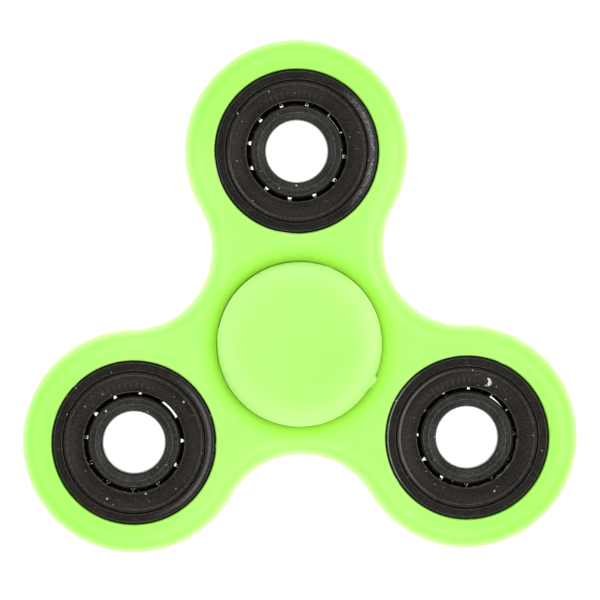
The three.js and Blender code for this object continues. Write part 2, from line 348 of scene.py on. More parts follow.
class Graph:
    """The node tree of one new material."""

    def __init__(self, name: str) -> None:
        """Makes the material, with a shader of its own."""
        self.material = bpy.data.materials.new(name)
        self.material.use_nodes = True
        self.tree = self.material.node_tree
        self.tree.nodes.clear()

    def add(self, kind: str, settings: Mapping[str, Any] | None = None,
            feeds: Mapping[Any, Any] | None = None) -> bpy.types.Node:
        """Adds a node.

        Args:
            kind: The node's type.
            settings: Its properties. A colour ramp's stops are a list of (place, colour) under "stops".
            feeds: What goes into its sockets, by name or number: a Signal, a number, or a colour or vector.

        Returns:
            The node.
        """
        node = self.tree.nodes.new(kind)
        for key, value in (settings or {}).items():
            if key == "stops":
                self._set_stops(node.color_ramp, value)
            else:
                setattr(node, key, value)
        for key, value in (feeds or {}).items():
            socket = node.inputs[key]
            if isinstance(value, Signal):
                self.tree.links.new(value.socket, socket)
            elif socket.type == "RGBA":
                socket.default_value = (*value, 1)
            else:
                socket.default_value = value
        return node

    @staticmethod
    def _set_stops(ramp: bpy.types.ColorRamp, stops: Sequence[tuple[float, Colour]]) -> None:
        """Gives a ramp its stops."""
        while len(ramp.elements) < len(stops):
            ramp.elements.new(0.5)
        for element, (place, colour) in zip(ramp.elements, stops):
            element.position = place
            element.color = (*colour, 1)

    def out(self, kind: str, settings: Mapping[str, Any] | None = None,
            feeds: Mapping[Any, Any] | None = None, socket: str | int = 0) -> Signal:
        """Adds a node and returns one of its outputs, by name or number."""
        return Signal(self, self.add(kind, settings, feeds).outputs[socket])

    def place(self, centre: Sequence[float] = (0, 0, 0)) -> Signal:
        """Returns the point on the piece, in millimetres from a centre that is in millimetres too."""
        point = self.out("ShaderNodeTexCoord", socket="Object")
        feeds = {"Vector": point, "Location": [-value for value in centre], "Scale": (1 / MM,) * 3}
        return self.out("ShaderNodeMapping", {"vector_type": "POINT"}, feeds)

    def split(self, vector: Signal) -> tuple[Signal, Signal, Signal]:
        """Returns a vector's three numbers."""
        node = self.add("ShaderNodeSeparateXYZ", feeds={0: vector})
        return tuple(Signal(self, node.outputs[i]) for i in range(3))

    def join(self, x: Signal | float, y: Signal | float, z: Signal | float) -> Signal:
        """Returns a vector of three numbers."""
        return self.out("ShaderNodeCombineXYZ", feeds={0: x, 1: y, 2: z})

    def noise(self, where: Signal, size: float, detail: float = 2, roughness: float = 0.5) -> Signal:
        """Returns cloudy noise from 0 to 1, with patches about as wide as size in millimetres."""
        feeds = {"Vector": where, "Scale": 1 / size, "Detail": detail, "Roughness": roughness}
        return self.out("ShaderNodeTexNoise", {"noise_dimensions": "3D"}, feeds, "Fac")

    def specks(self, where: Signal, spacing: float, size: float, share: float, flat: bool = True) -> Signal:
        """Returns a mask of scattered specks.

        Args:
            where: The point, in millimetres.
            spacing: How far apart the cells stand that may hold a speck.
            size: A speck's width at most.
            share: The share of cells that do hold one.
            flat: Whether the cells are columns along Z, so that a level face holds the most specks.

        Returns:
            A mask, 1 on a speck.
        """
        feeds = {"Vector": where, "Scale": 1 / spacing}
        settings = {"feature": "F1", "voronoi_dimensions": "2D" if flat else "3D"}
        node = self.add("ShaderNodeTexVoronoi", settings, feeds)
        chance = self.split(Signal(self, node.outputs["Color"]))
        distance = Signal(self, node.outputs["Distance"])
        reach = (chance[0] - (1 - share)).most(0) * (0.5 * size / spacing / share)
        return distance < reach

    def mix(self, share: Signal | float, first: Signal | Colour, second: Signal | Colour,
            blend: str = "MIX") -> Signal:
        """Returns the second colour laid over the first by a share."""
        settings = {"data_type": "RGBA", "blend_type": blend, "clamp_result": True}
        node = self.add("ShaderNodeMix", settings, {"Factor": share})
        sockets = [s for s in node.inputs if s.type == "RGBA"]
        for socket, value in zip(sockets, (first, second)):
            if isinstance(value, Signal):
                self.tree.links.new(value.socket, socket)
            else:
                socket.default_value = (*value, 1)
        return Signal(self, next(s for s in node.outputs if s.type == "RGBA"))

    def stretched(self, where: Signal, angle: float, stretch: float) -> Signal:
        """Returns the point with patterns drawn out along a direction.

        Args:
            where: The point, in millimetres.
            angle: The direction, in degrees from +X.
            stretch: How many times longer a pattern becomes along it.
        """
        feeds = {"Vector": where, "Rotation": (0, 0, -math.radians(angle)), "Scale": (1 / stretch, 1, 1)}
        return self.out("ShaderNodeMapping", {"vector_type": "POINT"}, feeds)

    def bump(self, height: Signal, depth: float) -> Signal:
        """Returns a normal for a height from 0 to 1 that stands for a depth in millimetres."""
        return self.out("ShaderNodeBump", feeds={"Height": height, "Strength": 1.0, "Distance": depth * MM})

    def finish(self, feeds: Mapping[str, Any]) -> bpy.types.Material:
        """Adds the surface shader and the output, and returns the material."""
        shader = self.out("ShaderNodeBsdfPrincipled", feeds=feeds)
        self.add("ShaderNodeOutputMaterial", feeds={"Surface": shader})
        return self.material


# ---------------------------------------------------------------- finishes


class Grain(Enum):
    """How a steel surface was worked."""

    GROUND = "ground"
    PRESSED = "pressed"


# The blackening is browner on pressed sheet than on ground steel, and its grain is coarser there.
BLACKENING = {Grain.GROUND: (0.0215, 0.0195, 0.017), Grain.PRESSED: (0.023, 0.0195, 0.015)}
GRAIN_SIZE = {Grain.GROUND: 0.08, Grain.PRESSED: 0.12}


@dataclass(frozen=True)
class PaintedLightZone:
    """Painted light: a change of colour with the distance from the spin axis, none at start and whole at end.

    It paints the shade and sheen that light gives at those distances. The change may run outwards or inwards.
    Where it is whole, the haze is thinner by the share of clearer, which dims its reflection as painted
    shade.
    """

    start: float
    end: float
    colour: Colour
    clearer: float = 0.0

    def share(self, distance: Signal) -> Signal:
        """Returns how far the change has gone at a distance."""
        if self.start < self.end:
            return distance.step(self.start, self.end)
        return 1 - distance.step(self.end, self.start)


@dataclass(frozen=True)
class MouldedPlastic:
    """Soft bright plastic, a little milky, hazed by handling, with the faint skin of a mould.

    Rings about the spin axis paint shade and sheen into its colour.
    """

    name: str
    painted_light_zones: tuple[PaintedLightZone, ...] = ()
    colour: Colour = (0.405, 0.945, 0.115)
    cloud: Colour = (0.385, 0.935, 0.1)
    dirt: Colour = (0.12, 0.26, 0.03)
    roughness: float = 0.42
    haze: float = 0.5
    milkiness: float = 0.75
    depth: float = 2.2
    cloud_size: float = 14
    rub_size: float = 5
    skin_size: float = 0.35

    def material(self) -> bpy.types.Material:
        """Returns the finish as a material."""
        graph = Graph(self.name)
        where = graph.place()
        clouds = graph.noise(where, self.cloud_size, 2).step(0.35, 0.7)
        skin = graph.noise(where, self.skin_size, 3, 0.6)
        rub_and_highlight = graph.noise(where, self.rub_size, 4, 0.7).step(0.4, 0.75)
        dirt = graph.specks(where, spacing=4.5, size=0.26, share=0.3, flat=False)
        x, y, _ = graph.split(where)
        distance = (x * x + y * y).root()
        colour = graph.mix(clouds, self.colour, self.cloud)
        shade_coat_cut: Signal | float = 0.0
        # Painted shade and sheen: each ring lays its colour by the distance from the spin axis, and thins the
        # coat where it paints shade.
        for light_zone in self.painted_light_zones:
            share = light_zone.share(distance)
            colour = graph.mix(share, colour, light_zone.colour)
            shade_coat_cut = (share * light_zone.clearer).most(shade_coat_cut)
        return graph.finish({
            "Base Color": graph.mix(dirt * 0.75, colour, self.dirt),
            "Roughness": self.roughness + rub_and_highlight * 0.1 + skin * 0.06 - 0.03,
            "Normal": graph.bump(skin * 0.6 + rub_and_highlight * 0.4, 0.006),
            "IOR": 1.5,
            "Coat Weight": 1 - shade_coat_cut,
            "Coat Roughness": self.haze,
            "Coat IOR": 1.7,
            "Subsurface Weight": self.milkiness,
            "Subsurface Radius": (0.7, 1.0, 0.2),
            "Subsurface Scale": self.depth * MM,
        })


@dataclass(frozen=True)
class Scuff:
    """A pale crescent scuffed into a face: a disc less another disc, from the bearing's axis."""

    radius: float
    angle: float
    size: float = 0.62
    soft_rim: float = 0.12
    bite: float = 0.52
    soft_bite: float = 0.08
    bite_shift: tuple[float, float] = (-0.34, 0.1)
    ragged: float = 0.3
    paleness: float = 0.95

    def mask(self, x: Signal, y: Signal, rough: Signal) -> Signal:
        """Returns a mask of the crescent, broken by rough noise."""
        spot = polar(self.radius, math.radians(self.angle))
        wobble = rough * self.ragged - self.ragged / 2
        dx, dy = x - float(spot[0]) + wobble, y - float(spot[1]) - wobble
        disc = 1 - (dx * dx + dy * dy).root().step(self.size - self.soft_rim, self.size)
        bx, by = dx - self.bite_shift[0], dy - self.bite_shift[1]
        bite = 1 - (bx * bx + by * by).root().step(self.bite - self.soft_bite, self.bite)
        return disc * (1 - bite) * rough.step(0.3, 0.55)


@dataclass(frozen=True)
class Stamp:
    """A row of plain strokes stamped into a shield, evenly spaced on an arc.

    The spread is the row's angle in degrees. A stroke begins, and is whole, at the two shares of the pitch in
    begins, which count from the middle of a gap.
    """

    middle: float
    spread: float = 62
    gaps: int = 11
    radius: float = 7.75
    height: float = 0.85
    soft_end: float = 0.08
    begins: tuple[float, float] = (0.28, 0.36)
    paleness: float = 0.025
    depth: float = 1.8

    def mask(self, x: Signal, y: Signal, radius: Signal) -> Signal:
        """Returns a mask of the strokes."""
        middle = math.radians(self.middle)
        along = y * math.cos(middle) - x * math.sin(middle)
        out = x * math.cos(middle) + y * math.sin(middle)
        angle = along.turn_from(out)
        spread = math.radians(self.spread)
        phase = abs((angle / (spread / self.gaps) + 0.5).fraction() - 0.5)
        inside = abs(angle) < spread / 2
        band = 1 - abs(radius - self.radius).step(self.height / 2 - self.soft_end, self.height / 2)
        return phase.step(*self.begins) * inside * band


@dataclass(frozen=True)
class PaintedHighlight:
    """A painted highlight along a face: its band of radii, its arc in degrees, and how broken it is by the
    grain.
    """

    radius: float
    width: float
    middle: float
    reach: float
    strength: float
    broken: float = 0.85

    def mask(self, x: Signal, y: Signal, radius: Signal, fine: Signal) -> Signal:
        """Returns a mask of the painted highlight, fading at its ends and broken by fine noise."""
        middle = math.radians(self.middle)
        ahead = (x * math.cos(middle) + y * math.sin(middle)) / radius
        along = ahead.step(math.cos(math.radians(self.reach)), math.cos(math.radians(self.reach / 3)))
        band = 1 - abs(radius - self.radius).step(0.1 * self.width, 0.5 * self.width)
        grain = fine.step(0.46, 0.62) * self.broken + (1 - self.broken)
        return along * band * grain * self.strength


@dataclass(frozen=True)
class Marks:
    """What sets one bearing apart from another: its marks, its painted highlights, and how its lower shield
    was pressed in.
    """

    stamp: Stamp
    painted_highlights: tuple[PaintedHighlight, ...] = ()
    scuff: Scuff | None = None
    lower_bore: float = 6.53
    lower_shift: tuple[float, float, float] = (0.0, 0.0, 0.0)


@dataclass(frozen=True)
class BlackSteel:
    """Blackened steel with a fine grain, turning marks, bright worn edges, dust, scratches and painted
    highlights.
    """

    name: str
    centre: tuple[float, float]
    grain: Grain
    stamp: Stamp | None = None
    painted_highlights: tuple[PaintedHighlight, ...] = ()
    scuff: Scuff | None = None
    bright_bore: float = 0.0
    shade: float = 1.0
    worn: Colour = (0.17, 0.165, 0.155)
    dust: Colour = (0.5, 0.5, 0.46)
    # The colour of the painted highlights.
    shine: Colour = (0.47, 0.45, 0.48)
    bare: Colour = (0.62, 0.63, 0.65)
    pale: Colour = (0.5, 0.55, 0.5)
    roughness: float = 0.42
    metallic: float = 0.8

    def tone(self, share: float) -> Colour:
        """Returns the blackening's colour, made lighter or darker by a share."""
        return tuple(share * self.shade * value for value in BLACKENING[self.grain])

    def material(self) -> bpy.types.Material:
        """Returns the finish as a material."""
        graph = Graph(self.name)
        x, y, z = graph.split(graph.place((*self.centre, 0)))
        where = graph.place()
        radius = (x * x + y * y).root()
        turning = graph.noise(graph.join(radius * 9, x / radius * 0.7, y / radius * 0.7 + z), 1, 3)
        grain = graph.noise(where, GRAIN_SIZE[self.grain], 2, 0.7)
        mottle = graph.noise(where, 0.3, 3, 0.7)
        cloud = graph.noise(where, 2.4, 3, 0.6)
        rough = graph.noise(where, 0.35, 2, 0.6)
        brush = graph.noise(where, 1.1, 4, 0.75).step(0.55, 0.8)
        fine_dust = graph.specks(where, spacing=1.2, size=0.17, share=0.14)
        dust = fine_dust.most(graph.specks(where, spacing=2.6, size=0.3, share=0.18))
        steep = graph.specks(graph.stretched(where, angle=62, stretch=9), spacing=0.9, size=0.09, share=0.3)
        slight = graph.specks(graph.stretched(where, angle=-25, stretch=7), spacing=1.4, size=0.1, share=0.3)
        scratch = steep.most(slight)
        edge = graph.out("ShaderNodeAttribute", {"attribute_name": "wear"}, socket="Fac")
        worn = edge * (rough.step(0.35, 0.62) * 0.65 + 0.35)
        fine = graph.noise(where, 0.2, 3, 0.8)
        # Painted highlights: paler steel laid on the side of a face where the lights catch it.
        highlighted: Signal | float = 0.0
        for rub_and_highlight in self.painted_highlights:
            highlighted = rub_and_highlight.mask(x, y, radius, fine).most(highlighted)
        base = graph.mix(cloud * 0.4 + mottle.step(0.3, 0.7) * 0.6, self.tone(0.3), self.tone(1.6))
        base = graph.mix(worn * 0.7 + brush * 0.08, base, self.worn)
        base = graph.mix(scratch * 0.35, base, self.worn)
        base = graph.mix(highlighted * 0.6, base, self.shine)
        base = graph.mix(dust * 0.8, base, self.dust)
        height = grain * 0.5 + turning * 0.5
        if self.stamp:
            stamped = self.stamp.mask(x, y, radius)
            base = graph.mix(stamped * self.stamp.paleness, base, self.pale)
            height = height - stamped * self.stamp.depth
        if self.scuff:
            base = graph.mix(self.scuff.mask(x, y, rough) * self.scuff.paleness, base, self.pale)
        roughness = self.roughness + (cloud - 0.5) * 0.16 + dust * 0.3
        metallic = self.metallic - dust * self.metallic
        if self.bright_bore:
            bare = 1 - radius.step(self.bright_bore, self.bright_bore + 0.1)
            base = graph.mix(bare, base, self.bare)
            roughness = roughness - bare * (self.roughness - 0.12)
            metallic = metallic.most(bare)
        return graph.finish({
            "Base Color": base,
            "Metallic": metallic,
            "Roughness": roughness,
            "Specular IOR Level": 0.25,
            "Normal": graph.bump(height, 0.012),
        })


@dataclass(frozen=True)
class PolishedSteel:
    """Bright bearing steel with a faint haze."""

    name: str
    colour: Colour = (0.62, 0.62, 0.63)

    def material(self) -> bpy.types.Material:
        """Returns the finish as a material."""
        graph = Graph(self.name)
        where = graph.place()
        haze = graph.noise(where, 1.2, 3, 0.6)
        oil = graph.noise(where, 0.3, 2, 0.5).step(0.5, 0.8)
        return graph.finish({
            "Base Color": graph.mix(oil * 0.5, self.colour, (0.3, 0.27, 0.22)),
            "Metallic": 1.0,
            "Roughness": 0.08 + haze * 0.12,
            "Normal": graph.bump(haze, 0.002),
        })


@dataclass(frozen=True)
class NaturalNylon:
    """Off-white moulded nylon."""

    name: str
    colour: Colour = (0.72, 0.68, 0.56)

    def material(self) -> bpy.types.Material:
        """Returns the finish as a material."""
        graph = Graph(self.name)
        where = graph.place()
        cloud = graph.noise(where, 2.0, 3)
        skin = graph.noise(where, 0.15, 2)
        return graph.finish({
            "Base Color": graph.mix(cloud, self.colour, (0.64, 0.6, 0.47)),
            "Roughness": 0.5 + skin * 0.15,
            "Normal": graph.bump(skin, 0.006),
            "Subsurface Weight": 0.2,
            "Subsurface Scale": 0.8 * MM,
        })


# ---------------------------------------------------------------- the frame


@dataclass
class Workshop:
    """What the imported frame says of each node, and the pieces made so far."""

    frame: dict[str, Any]
    made: list[str] = field(default_factory=list)

    def box(self, node: str) -> tuple[Array, Array]:
        """Returns a node's lowest and highest corner, in millimetres."""
        low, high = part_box(node)
        return np.array(low) / MM, np.array(high) / MM

    def centre(self, node: str) -> Array:
        """Returns the middle of a node's box, in millimetres."""
        low, high = self.box(node)
        return (low + high) / 2

    def body_of(self, node: str) -> str:
        """Returns the body that a node belongs to."""
        bodies = self.frame["record"]["behaviour"]["bodies"]
        return next(body for body, nodes in bodies.items() if node in nodes)

    def fit(self, piece: bpy.types.Object, node: str, material: bpy.types.Material) -> None:
        """Puts a finished piece in the place of a node, on the node's body."""
        piece.data.materials.append(material)
        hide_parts(node)
        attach(piece, self.body_of(node))
        self.made.append(piece.name)
        LOG.info("%s: %d faces, on %s", piece.name, len(piece.data.polygons), self.body_of(node))


# ---------------------------------------------------------------- body


@dataclass
class TriLobeBody:
    """The moulded body: lobe and waist arcs joined on the sides of a hexagon, with four round seats."""

    arm: float
    lobe_radius: float
    half_height: float
    seat_radius: float
    turns: tuple[float, float, float]
    edge_round: float = 2.9
    flat_margin: float = 3.3
    ridge: float = 0.04
    ridge_width: float = 0.14
    ridge_slope: float = 0.03
    ridge_round: float = 0.02
    seat_play: float = 0.03
    mouth_round: float = 0.22
    lobe_steps: int = 96
    waist_steps: int = 32
    border_steps: int = 16
    flat_steps: int = 4

    @classmethod
    def from_frame(cls, shop: Workshop, centre: str, weights: Sequence[str]) -> TriLobeBody:
        """Takes the body's driving sizes from the frame."""
        arms = [shop.centre(f"{name}_outer_ring") - shop.centre(f"{centre}_outer_ring") for name in weights]
        high = shop.box("tri_lobe_body")[1]
        ring = shop.box(f"{centre}_outer_ring")[1]
        arm = float(np.linalg.norm(arms[0][:2]))
        turns = tuple(math.atan2(away[1], away[0]) for away in arms)
        return cls(arm, float(high[1]) - arm, float(high[2]), float(ring[0]) + cls.seat_play, turns)

    def lobe_arc(self, turn: float, inset: float | Array) -> Array:
        """Returns the points of one lobe's arc of 240 degrees, moved in from the outline by inset."""
        angles = turn + np.radians(np.linspace(-120, 120, self.lobe_steps + 1))
        return polar(self.arm, turn) + polar(self.lobe_radius - np.asarray(inset)[..., None], angles)

    def waist_arc(self, turn: float, inset: float | Array) -> Array:
        """Returns the points of the waist's arc of 120 degrees that follows the lobe at turn."""
        middle = turn + math.radians(60)
        angles = middle + np.radians(np.linspace(240, 120, self.waist_steps + 1))
        radius = self.arm - self.lobe_radius + np.asarray(inset)[..., None]
        return polar(self.arm, middle) + polar(radius, angles)

    def edge_section(self) -> Section:
        """Draws the edge, rounded and with a parting ridge. Across is the distance in from the outline."""
        top, ridge, half = self.half_height, self.ridge, self.ridge_width / 2
        upper = [
            Corner(self.flat_margin, top),
            Corner(ridge, top, self.edge_round),
            Corner(ridge, half + self.ridge_slope),
            Corner(0.006, half, self.ridge_round),
            Corner(0, 0),
        ]
        lower = [Corner(corner.across, -corner.up, corner.radius) for corner in upper[-2::-1]]
        return draw([*upper, *lower], closed=False, steps=14)

    def edge(self) -> Patch:
        """Carries the edge's section along the whole outline."""
        section = self.edge_section()
        inset = section.points[:, 0]
        runs = [run(turn, inset)[:, :-1] for turn in self.turns for run in (self.lobe_arc, self.waist_arc)]
        flat = np.concatenate(runs, axis=1)
        height = np.broadcast_to(section.points[:, None, 1:], (*flat.shape[:2], 1))
        wear = np.zeros(flat.shape[:2])
        return Patch(np.concatenate([flat, height], axis=-1), wear, wrap_columns=True)

    def border(self, turn: float) -> Array:
        """Returns the line halfway between the centre and a lobe, between the flat's two edges."""
        quarter = self.waist_steps // 4
        ends = self.waist_arc(turn, self.flat_margin)[quarter]
        away = polar(1.0, turn)
        across = np.array([-away[1], away[0]])
        half = float(ends @ across)
        share = np.linspace(half, -half, self.border_steps + 1)[:, None]
        return away * self.arm / 2 + across * share

    def lobe_cell(self, turn: float) -> Array:
        """Returns the closed border of the flat round one lobe's seat."""
        quarter = self.waist_steps // 4
        third = math.radians(120)
        after = self.waist_arc(turn, self.flat_margin)[: quarter + 1]
        before = self.waist_arc(turn - third, self.flat_margin)[-quarter - 1:]
        runs = [self.lobe_arc(turn, self.flat_margin), after, self.border(turn), before]
        return np.vstack([run[:-1] for run in runs])

    def centre_cell(self) -> Array:
        """Returns the closed border of the flat round the centre seat."""
        quarter = self.waist_steps // 4
        runs = []
        for turn in self.turns:
            runs.append(self.border(turn)[::-1])
            runs.append(self.waist_arc(turn, self.flat_margin)[quarter:-quarter])
        return np.vstack([run[:-1] for run in runs])

    def seat_section(self) -> Section:
        """Draws the seat's wall with rounded mouths, with across as the distance from the seat's axis."""
        mouth = self.seat_radius + self.mouth_round + 0.08
        corners = [
            Corner(mouth, self.half_height),
            Corner(self.seat_radius, self.half_height, self.mouth_round),
            Corner(self.seat_radius, -self.half_height, self.mouth_round),
            Corner(mouth, -self.half_height),
        ]
        return draw(corners, closed=False)

    def seat(self, border: Array, centre: Array) -> Patch:
        """Spans from a flat's border to its seat, down the seat's wall, and back out on the lower face.

        Each border point has an angle about the seat's axis, and its column runs straight to the seat at that
        angle.
        """
        away = border - centre
        angles = np.arctan2(away[:, 1], away[:, 0])
        section = self.seat_section()
        wall = centre + polar(section.points[:, :1], angles[None])
        share = np.linspace(0, 1, self.flat_steps + 1)[:-1, None, None]
        out = border + (wall[0] - border) * share
        flat = np.concatenate([out, wall, out[::-1]])
        face = np.full(self.flat_steps, self.half_height)
        height = np.concatenate([face, section.points[:, 1], -face])
        heights = np.broadcast_to(height[:, None, None], (*flat.shape[:2], 1))
        points = np.concatenate([flat, heights], axis=-1)
        return Patch(points, np.zeros(points.shape[:2]), wrap_columns=True)

    def build(self, shop: Workshop, material: bpy.types.Material) -> None:
        """Makes the body and fits it."""
        skin = Skin(self.edge(), self.seat(self.centre_cell(), np.zeros(2)))
        for turn in self.turns:
            skin.add(self.seat(self.lobe_cell(turn), polar(self.arm, turn)))
        shop.fit(skin.sew("moulded_body"), "tri_lobe_body", material)


# ---------------------------------------------------------------- bearings


@dataclass
class CrownCage:
    """A ring with a round pocket for each ball, open at the top, where horns stand between the balls."""

    pitch_radius: float
    ball_radius: float
    balls: int
    inner: float
    outer: float
    depth: float = 0.7
    horn: float = 0.9
    pocket_play: float = 0.16
    wall_steps: int = 4
    top_steps: int = 11
    turn_steps: int = 480

    def patch(self, centre: Array) -> Patch:
        """Returns the cage's surface round a centre.

        The section is a loop of inner wall, top, outer wall and foot. The top lies at the horns' height, and
        falls to the pocket's sphere wherever it is nearer to a ball's axis than the pocket's radius.
        """
        foot = -self.ball_radius - self.depth
        pocket = self.ball_radius + self.pocket_play
        inner_wall = np.full(self.wall_steps, self.inner)
        outer_wall = np.full(self.wall_steps, self.outer)
        top = np.linspace(self.inner, self.outer, self.top_steps + 1)
        across = np.concatenate([inner_wall, top, outer_wall])
        climb = np.linspace(0, 1, self.wall_steps + 1)[:-1]
        rise = np.concatenate([climb, np.ones(top.size), climb[::-1]])
        angles = np.arange(self.turn_steps)[:, None] * (2 * math.pi / self.turn_steps)
        spacing = 2 * math.pi / self.balls
        nearest = np.round(angles / spacing - 0.5) * spacing + spacing / 2
        gap = np.linalg.norm(polar(across[None], angles) - polar(self.pitch_radius, nearest), axis=-1)
        dip = -np.sqrt(np.maximum(pocket**2 - gap**2, 0))
        height = foot + (np.where(gap < pocket, dip, self.horn) - foot) * rise[None]
        points = np.concatenate([polar(across[None], angles), height[..., None]], axis=-1) + centre
        return Patch(points, np.zeros(points.shape[:2]), True, True)


@dataclass
class BallBearing:
    """A ball bearing of two rings, two shields and its balls, with a cage if it has one."""

    name: str
    centre: Array
    outer_radius: float
    bore_radius: float
    half_width: float
    ball_radius: float
    balls: int
    marks: Marks
    caged: bool = False
    chamfer: float = 0.3
    lip_out: float = 0.5
    lip_depth: float = 1.05
    slope_out: float = 1.18
    slope_depth: float = 0.34
    groove_radius: float = 2.06
    groove_reach: float = 48
    groove_steps: int = 18
    land_out: float = 8.9
    land_in: float = 6.2
    shield_bore: float = 6.75
    shield_seat: float = 9.6
    seat_slope: float = 0.02
    seat_depth: float = 0.8
    shield_drop: float = 0.2
    sheet: float = 0.3
    bead_radius: float = 0.22
    bead_out: float = 0.14
    bead_sunk: float = 0.12
    rim_play: float = 0.08
    cage_play: float = 0.45
    bright_lip: float = 0.16
    inner_shade: float = 1.75
    ball_rows: int = 24
    ball_columns: int = 40

    @classmethod
    def from_frame(cls, shop: Workshop, name: str, marks: Marks) -> BallBearing:
        """Takes a bearing's place and driving sizes from the frame."""
        low, high = shop.box(f"{name}_outer_ring")
        nodes = shop.frame["nodes"]
        balls = sum(node.startswith(f"{name}_ball_") for node in nodes)
        mesh = nodes[f"{name}_inner_ring"].data
        points = np.empty(3 * len(mesh.vertices))
        mesh.vertices.foreach_get("co", points)
        centre = (low + high) / 2
        outer_radius, _, half_width = (float(value) for value in high - centre)
        bore_radius = float(np.hypot(*(points.reshape(-1, 3) / MM - centre)[:, :2].T).min())
        ball_low, ball_high = shop.box(f"{name}_ball_01")
        ball_radius = float(ball_high[2] - ball_low[2]) / 2
        caged = f"{name}_cage" in nodes
        return cls(name, centre, outer_radius, bore_radius, half_width, ball_radius, balls, marks, caged)

    @property
    def pitch_radius(self) -> float:
        """The radius of the balls' circle."""
        return (self.outer_radius + self.bore_radius) / 2

    def outer_ring(self) -> Section:
        """Draws the outer ring: chamfered outside, stepped for the shields, and grooved for the balls."""
        top, step = self.half_width, self.half_width - self.seat_depth
        upper = [
            Corner(self.outer_radius, top - self.chamfer, 0.12),
            Corner(self.outer_radius - self.chamfer, top, 0.1),
            Corner(self.shield_seat + self.seat_slope, top, 0.07),
            Corner(self.shield_seat - self.seat_slope, step, 0.08),
            Corner(self.land_out, step, 0.05),
        ]
        lower = [Corner(corner.across, -corner.up, corner.radius) for corner in upper[::-1]]
        reach = self.groove_reach
        groove = arc((self.pitch_radius, 0), self.groove_radius, reach, -reach, self.groove_steps)
        return draw([*upper, *groove, *lower], closed=True)

    def inner_ring(self) -> Section:
        """Draws the inner ring: a deep soft edge at the bore, small edges at the land, and a groove."""
        top = self.half_width
        upper = [
            Corner(self.bore_radius, top - self.lip_depth, 0.9),
            Corner(self.bore_radius + self.lip_out, top - self.slope_depth, 0.14),
            Corner(self.bore_radius + self.slope_out, top, 0.16),
            Corner(self.land_in - self.chamfer, top, 0.1),
            Corner(self.land_in, top - self.chamfer, 0.1),
        ]
        lower = [Corner(corner.across, -corner.up, corner.radius) for corner in upper[::-1]]
        reach = self.groove_reach
        groove = arc((self.pitch_radius, 0), self.groove_radius, 180 - reach, 180 + reach, self.groove_steps)
        return draw([*upper, *groove, *lower], closed=True)

    def shield(self, side: float) -> Section:
        """Draws a pressed shield: a flat washer, a rolled bead, and a rim down in its seat.

        Args:
            side: +1 for the upper shield, or -1 for the lower one.

        Returns:
            The section, with a little less wear on the rim.
        """
        flat = self.half_width - self.shield_drop
        under = flat - self.sheet
        floor = self.half_width - self.seat_depth + 0.02
        bead = self.land_out + self.bead_out
        rim = self.shield_seat - self.rim_play
        bore = self.shield_bore if side > 0 else self.marks.lower_bore
        corners = [
            Corner(bore, under, 0.06),
            Corner(bore, flat, 0.13),
            *arc((bead, flat - self.bead_sunk), self.bead_radius, 147, 33, 10),
            Corner(rim - 0.11, flat - 0.02, 0.04),
            Corner(rim - 0.02, flat - 0.12, 0.05),
            Corner(rim, floor, 0.05),
            Corner(self.land_out, floor, 0.06),
            Corner(self.land_out - 0.25, under, 0.08),
        ]
        section = draw(corners, closed=True, steps=5, support=0.012)
        wear = np.where(section.points[:, 0] > self.land_out - 0.3, section.wear * 0.4, section.wear)
        ridge = np.abs(section.points[:, 0] - bead) < self.bead_radius
        wear = np.where(ridge & (section.points[:, 1] > flat), 0.3, wear)
        return Section(section.points * (1, side), wear, True)

    def ball(self, centre: Array) -> Patch:
        """Returns a ball, with rows from pole to pole and columns round it."""
        tilt = np.linspace(-math.pi / 2, math.pi / 2, self.ball_rows + 1)
        section = Section(polar(self.ball_radius, tilt), np.zeros(tilt.size), False)
        return turned(section, centre, self.ball_columns)

    def cage(self) -> Patch:
        """Returns the cage between the two lands."""
        inner, outer = self.land_in + self.cage_play, self.land_out - self.cage_play
        return CrownCage(self.pitch_radius, self.ball_radius, self.balls, inner, outer).patch(self.centre)

    def build(self, shop: Workshop) -> None:
        """Makes every piece of the bearing and fits it."""
        place = (float(self.centre[0]), float(self.centre[1]))
        marks = self.marks
        name, lip = self.name, self.bore_radius + self.bright_lip
        outer = BlackSteel(f"{name}_outer_steel", place, Grain.GROUND, painted_highlights=marks.painted_highlights)
        inner = BlackSteel(f"{name}_inner_steel", place, Grain.GROUND, bright_bore=lip,
                           shade=self.inner_shade)
        upper = BlackSteel(f"{name}_upper_steel", place, Grain.PRESSED, marks.stamp, marks.painted_highlights, marks.scuff)
        lower = BlackSteel(f"{name}_lower_steel", place, Grain.PRESSED, marks.stamp)
        shine = PolishedSteel(f"{name}_ball_steel").material()
        still = np.zeros(3)
        turnings = (
            ("outer_ring", self.outer_ring(), outer, still),
            ("inner_ring", self.inner_ring(), inner, still),
            ("upper_shield", self.shield(1), upper, still),
            ("lower_shield", self.shield(-1), lower, np.array(marks.lower_shift)),
        )
        for part, section, steel, shift in turnings:
            piece = Skin(turned(section, self.centre + shift)).sew(f"{name}_{part}_fine")
            shop.fit(piece, f"{name}_{part}", steel.material())
        for number in range(1, self.balls + 1):
            node = f"{name}_ball_{number:02d}"
            shop.fit(Skin(self.ball(shop.centre(node))).sew(f"{node}_fine"), node, shine)
        if self.caged:
            nylon = NaturalNylon("cage_nylon").material()
            shop.fit(Skin(self.cage()).sew(f"{name}_cage_fine"), f"{name}_cage", nylon)


# ---------------------------------------------------------------- finger caps


